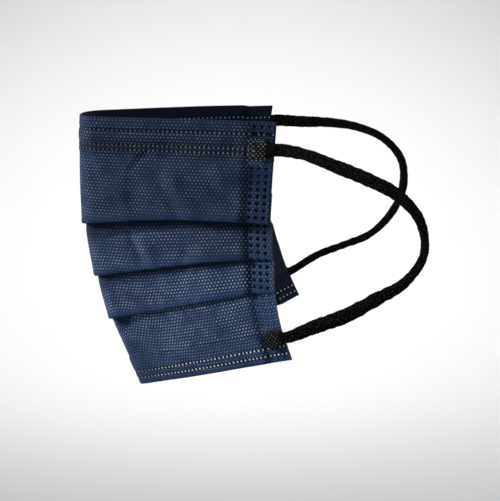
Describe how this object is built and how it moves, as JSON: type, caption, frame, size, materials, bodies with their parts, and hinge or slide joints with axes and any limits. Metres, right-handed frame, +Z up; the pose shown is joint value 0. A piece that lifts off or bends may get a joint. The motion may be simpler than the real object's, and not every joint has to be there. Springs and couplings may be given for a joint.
{
  "type": "surgical face mask",
  "caption": "Pleated nonwoven face mask in its worn shape, with knife pleats, turned hems and two elastic ear loops.",
  "frame": {"origin": "middle of the top edge, on its outer face, where the mask rests on the bridge of the nose", "axes": "+Z up along the middle of the mask, -Y the way the wearer faces, +X the wearer's left"},
  "size_m": [0.1133, 0.1434, 0.1185],
  "materials": {
    "cloth": "matt navy spunbond nonwoven with a fine lattice of bond points",
    "elastic": "matt black knitted elastic"
  },
  "bodies": {
    "root": {"pleated_body": "cloth", "top_hem": "cloth", "bottom_hem": "cloth", "upper_loop_pad_left": "elastic", "upper_loop_pad_right": "elastic", "lower_loop_pad_left": "elastic", "lower_loop_pad_right": "elastic", "ear_loop_left": "elastic", "ear_loop_right": "elastic"}
  },
  "joints": []
}
